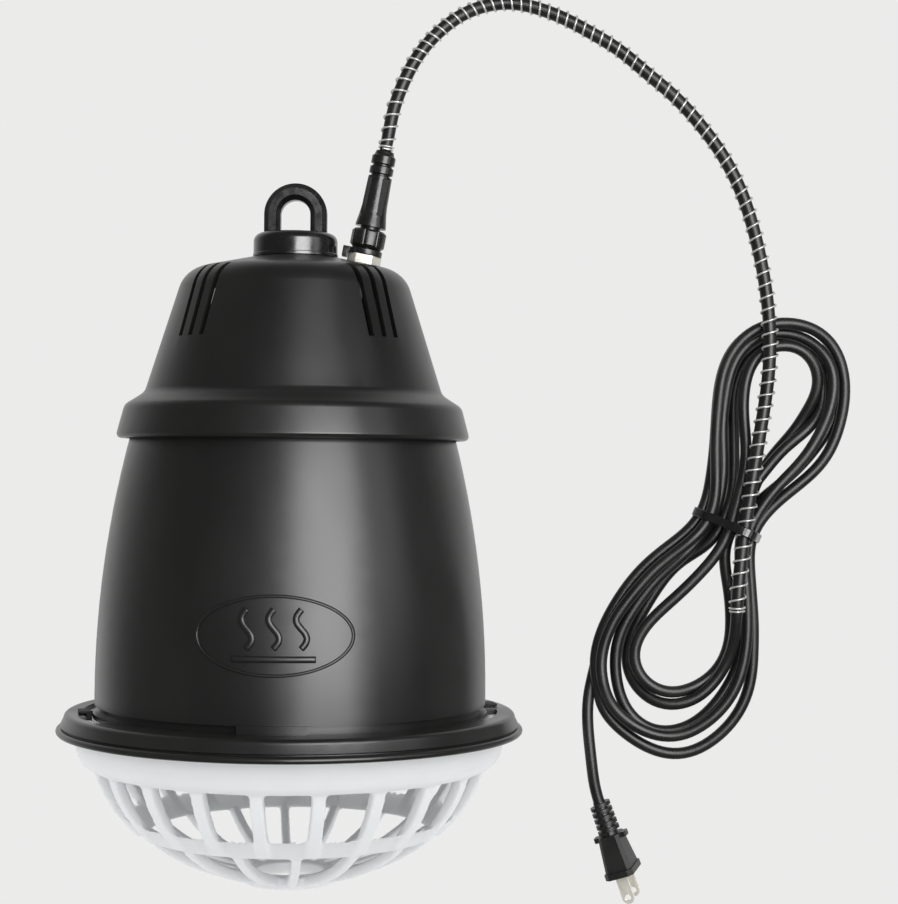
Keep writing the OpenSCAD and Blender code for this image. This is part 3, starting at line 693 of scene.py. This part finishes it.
def spread(mat, source, low, high, start=0.3, end=0.7):
    """A number that goes from low to high as the source goes from start to end."""
    node = mat.node_tree.nodes.new("ShaderNodeMapRange")
    node.inputs["From Min"].default_value = start
    node.inputs["From Max"].default_value = end
    node.inputs["To Min"].default_value = low
    node.inputs["To Max"].default_value = high
    mat.node_tree.links.new(source, node.inputs["Value"])
    return node.outputs["Result"]


def tint(mat, source, dark, light, start=0.3, end=0.7):
    """Base colour between two colours, as the source goes from start to end."""
    ramp = mat.node_tree.nodes.new("ShaderNodeValToRGB")
    ramp.color_ramp.elements[0].position = start
    ramp.color_ramp.elements[0].color = (*dark, 1.0)
    ramp.color_ramp.elements[1].position = end
    ramp.color_ramp.elements[1].color = (*light, 1.0)
    shader = mat.node_tree.nodes["Principled BSDF"]
    mat.node_tree.links.new(source, ramp.inputs["Fac"])
    mat.node_tree.links.new(ramp.outputs["Color"], shader.inputs["Base Color"])


def rough_by(mat, source, low, high, start=0.3, end=0.7):
    """Roughness from low to high, as the source goes from start to end."""
    value = spread(mat, source, low, high, start, end)
    mat.node_tree.links.new(value, mat.node_tree.nodes["Principled BSDF"].inputs["Roughness"])


def bump(mat, source, strength, distance):
    """Bumps of that height in millimetres. A second call adds to the first."""
    tree = mat.node_tree
    node = tree.nodes.new("ShaderNodeBump")
    node.inputs["Strength"].default_value = strength
    node.inputs["Distance"].default_value = distance * MM
    shader = tree.nodes["Principled BSDF"]
    tree.links.new(source, node.inputs["Height"])
    if shader.inputs["Normal"].is_linked:
        tree.links.new(shader.inputs["Normal"].links[0].from_socket, node.inputs["Normal"])
    tree.links.new(node.outputs["Normal"], shader.inputs["Normal"])


def moulded_black():
    mat = material("moulded_black", (0.0105, 0.0115, 0.0102), 0.34, specular=0.5)
    cloud = noise(mat, 16.0, 3.0, 0.5, (1.0, 1.0, 0.45))
    tint(mat, cloud, (0.0085, 0.0095, 0.0083), (0.014, 0.0155, 0.0135))
    rough_by(mat, cloud, 0.28, 0.40)
    bump(mat, noise(mat, 14.0, 2.0, 0.5, (1.0, 1.0, 0.35)), 0.35, 0.6)
    bump(mat, noise(mat, 1100.0, 2.0), 0.12, 0.04)
    return mat


def gloss_black():
    mat = material("gloss_black", (0.008, 0.008, 0.008), 0.22, specular=0.85)
    rough_by(mat, noise(mat, 160.0, 3.0), 0.18, 0.3)
    bump(mat, noise(mat, 60.0, 2.0), 0.3, 0.15)
    bump(mat, noise(mat, 700.0, 2.0), 0.12, 0.04)
    return mat


def connector_black():
    mat = material("connector_black", (0.010, 0.011, 0.010), 0.26)
    tint(mat, noise(mat, 120.0, 3.0), (0.008, 0.0085, 0.008), (0.016, 0.017, 0.015))
    rough_by(mat, noise(mat, 260.0, 3.0), 0.2, 0.36)
    bump(mat, noise(mat, 500.0, 3.0), 0.3, 0.08)
    return mat


def guard_white():
    mat = material("guard_white", (0.80, 0.815, 0.84), 0.36)
    shader = mat.node_tree.nodes["Principled BSDF"]
    shader.inputs["Subsurface Weight"].default_value = 0.45
    shader.inputs["Subsurface Radius"].default_value = (1.0, 1.0, 1.0)
    shader.inputs["Subsurface Scale"].default_value = 6.0 * MM
    tint(mat, noise(mat, 35.0, 3.0), (0.805, 0.82, 0.84), (0.84, 0.85, 0.865))
    rough_by(mat, noise(mat, 120.0, 3.0), 0.32, 0.42)
    bump(mat, noise(mat, 90.0, 3.0), 0.15, 0.12)
    return mat


def cord_black():
    mat = material("cord_black", (0.010, 0.010, 0.010), 0.36, specular=0.4)
    rough_by(mat, noise(mat, 60.0, 3.0), 0.33, 0.42)
    tint(mat, noise(mat, 60.0, 3.0), (0.008, 0.008, 0.008), (0.017, 0.017, 0.016))
    bump(mat, noise(mat, 160.0, 2.0), 0.2, 0.08)
    return mat


def hook_black():
    mat = material("hook_black", (0.010, 0.010, 0.010), 0.6, specular=0.2)
    rough_by(mat, noise(mat, 200.0, 3.0), 0.5, 0.7)
    bump(mat, noise(mat, 400.0, 2.0), 0.2, 0.05)
    return mat


def plated(name, colour, metallic, low, high):
    """Plated metal with a soft, slightly cloudy sheen."""
    mat = material(name, colour, (low + high) / 2, metallic=metallic)
    rough_by(mat, noise(mat, 60.0, 2.0), low, high)
    tint(mat, noise(mat, 40.0, 2.0), tuple(0.9 * c for c in colour), colour)
    return mat


def metal(name, colour, low, high, scale=260.0):
    """Bare metal with a fine grain."""
    mat = material(name, colour, (low + high) / 2, metallic=1.0)
    rough_by(mat, noise(mat, scale, 3.0), low, high)
    darker = tuple(0.86 * c for c in colour)
    tint(mat, noise(mat, scale / 4, 3.0), darker, colour)
    bump(mat, noise(mat, scale * 4, 2.0), 0.1, 0.03)
    return mat


def porcelain():
    mat = material("porcelain", (0.84, 0.82, 0.76), 0.18, coat=0.4, coat_roughness=0.06)
    tint(mat, noise(mat, 60.0, 3.0), (0.80, 0.78, 0.72), (0.87, 0.85, 0.80))
    bump(mat, noise(mat, 90.0, 2.0), 0.1, 0.15)
    return mat


def lead_red():
    mat = material("lead_red", (0.35, 0.02, 0.015), 0.45)
    rough_by(mat, noise(mat, 200.0, 3.0), 0.38, 0.52)
    bump(mat, noise(mat, 900.0, 2.0), 0.1, 0.04)
    return mat


def bulb_glass():
    """Clear reflector glass, silvered inside: a pale, glossy, faintly frosted shell."""
    mat = material("bulb_glass", (0.80, 0.80, 0.80), 0.16, coat=0.7, coat_roughness=0.04)
    tint(mat, noise(mat, 45.0, 3.0), (0.76, 0.76, 0.76), (0.84, 0.84, 0.83))
    rough_by(mat, noise(mat, 60.0, 2.0), 0.12, 0.2)
    return mat


FINISH = {
    "moulded_black": moulded_black(),
    "gloss_black": gloss_black(),
    "guard_white": guard_white(),
    "connector_black": connector_black(),
    "cord_black": cord_black(),
    "steel": metal("steel", (0.66, 0.66, 0.67), 0.22, 0.36),
    "spring_steel": plated("spring_steel", (0.66, 0.66, 0.65), 0.5, 0.3, 0.42),
    "nickel": plated("nickel", (0.88, 0.85, 0.76), 0.4, 0.28, 0.4),
    "hook_black": hook_black(),
    "brass": metal("brass", (0.76, 0.55, 0.22), 0.22, 0.38),
    "aluminium": metal("aluminium", (0.84, 0.84, 0.85), 0.16, 0.3, 80.0),
    "porcelain": porcelain(),
    "lead_red": lead_red(),
    "bulb_glass": bulb_glass(),
}

NODE_FINISH = {
    "moulded_black": ["cap", "barrel", "inlet"],
    "gloss_black": ["hanger_eye", "bulb_insulator"],
    "hook_black": ["guard_hooks"],
    "connector_black": ["coupling_nut", "connector_sleeve", "lock_tab"],
    "cord_black": ["plug_body"],
    "steel": ["hanger_bolt", "hanger_washer", "hanger_nut", "cap_screws", "shield_screws",
              "socket_bracket", "bracket_screws", "lampholder_screws", "bulb_tip"],
    "nickel": ["inlet_nut", "plug_blades"],
    "brass": ["lampholder_shell", "centre_contact", "terminal_screws", "contact_pins", "bulb_cap"],
    "aluminium": ["heat_shield"],
    "porcelain": ["lampholder_body"],
    "lead_red": ["internal_leads"],
    "bulb_glass": ["bulb_glass"],
}

for finish, names in NODE_FINISH.items():
    for name in [n for n in names if n in nodes]:
        for place in nodes[name].material_slots:
            place.material = FINISH[finish]

guard.data.materials.append(FINISH["guard_white"])
badge.data.materials.append(FINISH["moulded_black"])
lead.data.materials.append(FINISH["cord_black"])
spring.data.materials.append(FINISH["spring_steel"])
tie.data.materials.append(FINISH["gloss_black"])


# ---------------------------------------------------------------------------
# Floor, backdrop and lights
# ---------------------------------------------------------------------------

# Brightness of the backdrop, of the light that reaches matt surfaces, and of what glossy surfaces
# mirror from the front of the room
BACKDROP_GLOW = 0.831
FILL_GLOW = 1.15
FRONT_GLOW = 0.065
FLOOR_Z = -1300
FLOOR_GLOW = 0.762


def pale(name, glow, diffuse):
    """A pale matt surface that glows evenly."""
    mat = bpy.data.materials.new(name)
    mat.use_nodes = True
    shader = mat.node_tree.nodes["Principled BSDF"]
    shader.inputs["Base Color"].default_value = (diffuse, diffuse, diffuse, 1.0)
    shader.inputs["Roughness"].default_value = 0.9
    shader.inputs["Specular IOR Level"].default_value = 0.0
    shader.inputs["Emission Color"].default_value = (1.0, 1.0, 0.995, 1.0)
    shader.inputs["Emission Strength"].default_value = glow
    return mat


def make_floor():
    """A wide floor far below the lamp, which its glossy parts don't mirror."""
    corners = [(-6000, -4000), (6000, -4000), (6000, 6000), (-6000, 6000)]
    mesh = mesh_from("floor", [(x, y, FLOOR_Z) for x, y in corners], [(0, 1, 2, 3)], smooth=False)
    floor = new_object("floor", mesh, None, pale("floor_white", FLOOR_GLOW, 0.06))
    floor.visible_glossy = False


def make_world():
    """An even pale studio, whose front side is dark to glossy surfaces."""
    world = bpy.data.worlds.new("studio")
    world.use_nodes = True
    tree = world.node_tree
    back = tree.nodes["Background"]
    back.inputs["Color"].default_value = (1.0, 1.0, 0.995, 1.0)
    path = tree.nodes.new("ShaderNodeLightPath")
    coords = tree.nodes.new("ShaderNodeTexCoord")
    split = tree.nodes.new("ShaderNodeSeparateXYZ")
    depth = tree.nodes.new("ShaderNodeMapRange")
    depth.interpolation_type = "SMOOTHSTEP"
    depth.inputs["From Min"].default_value = 0.0
    depth.inputs["From Max"].default_value = 0.9
    depth.inputs["To Min"].default_value = FRONT_GLOW
    depth.inputs["To Max"].default_value = BACKDROP_GLOW
    fill = tree.nodes.new("ShaderNodeMix")
    fill.inputs["A"].default_value = FILL_GLOW
    fill.inputs["B"].default_value = BACKDROP_GLOW
    pick = tree.nodes.new("ShaderNodeMix")
    tree.links.new(coords.outputs["Generated"], split.inputs["Vector"])
    tree.links.new(split.outputs["Y"], depth.inputs["Value"])
    tree.links.new(path.outputs["Is Camera Ray"], fill.inputs["Factor"])
    tree.links.new(path.outputs["Is Glossy Ray"], pick.inputs["Factor"])
    tree.links.new(fill.outputs["Result"], pick.inputs["A"])
    tree.links.new(depth.outputs["Result"], pick.inputs["B"])
    tree.links.new(pick.outputs["Result"], back.inputs["Strength"])
    bpy.context.scene.world = world


def area_light(name, place, target, width, height, power, diffuse=True):
    """A rectangular light that faces a target, in metres and watts."""
    data = bpy.data.lights.new(name, "AREA")
    data.shape = "RECTANGLE"
    data.size = width
    data.size_y = height
    data.energy = power
    light = bpy.data.objects.new(name, data)
    bpy.context.scene.collection.objects.link(light)
    direction = Vector(target) - Vector(place)
    turn = direction.to_track_quat("-Z", "Y").to_matrix().to_4x4()
    light.matrix_world = Matrix.Translation(place) @ turn
    light.visible_camera = False
    light.visible_diffuse = diffuse


bpy.context.scene.view_settings.view_transform = "Standard"
make_floor()
make_world()
area_light("key", (0.68, -1.51, 0.13), (0.0, 0.0, -0.2), 1.15, 1.22, 45.0, diffuse=False)
area_light("side", (1.5, -0.75, 0.3), (0.0, 0.0, -0.15), 0.5, 1.0, 2.5)

# ---------------------------------------------------------------------------
# A last update of the scene
# ---------------------------------------------------------------------------

bpy.context.view_layer.update()
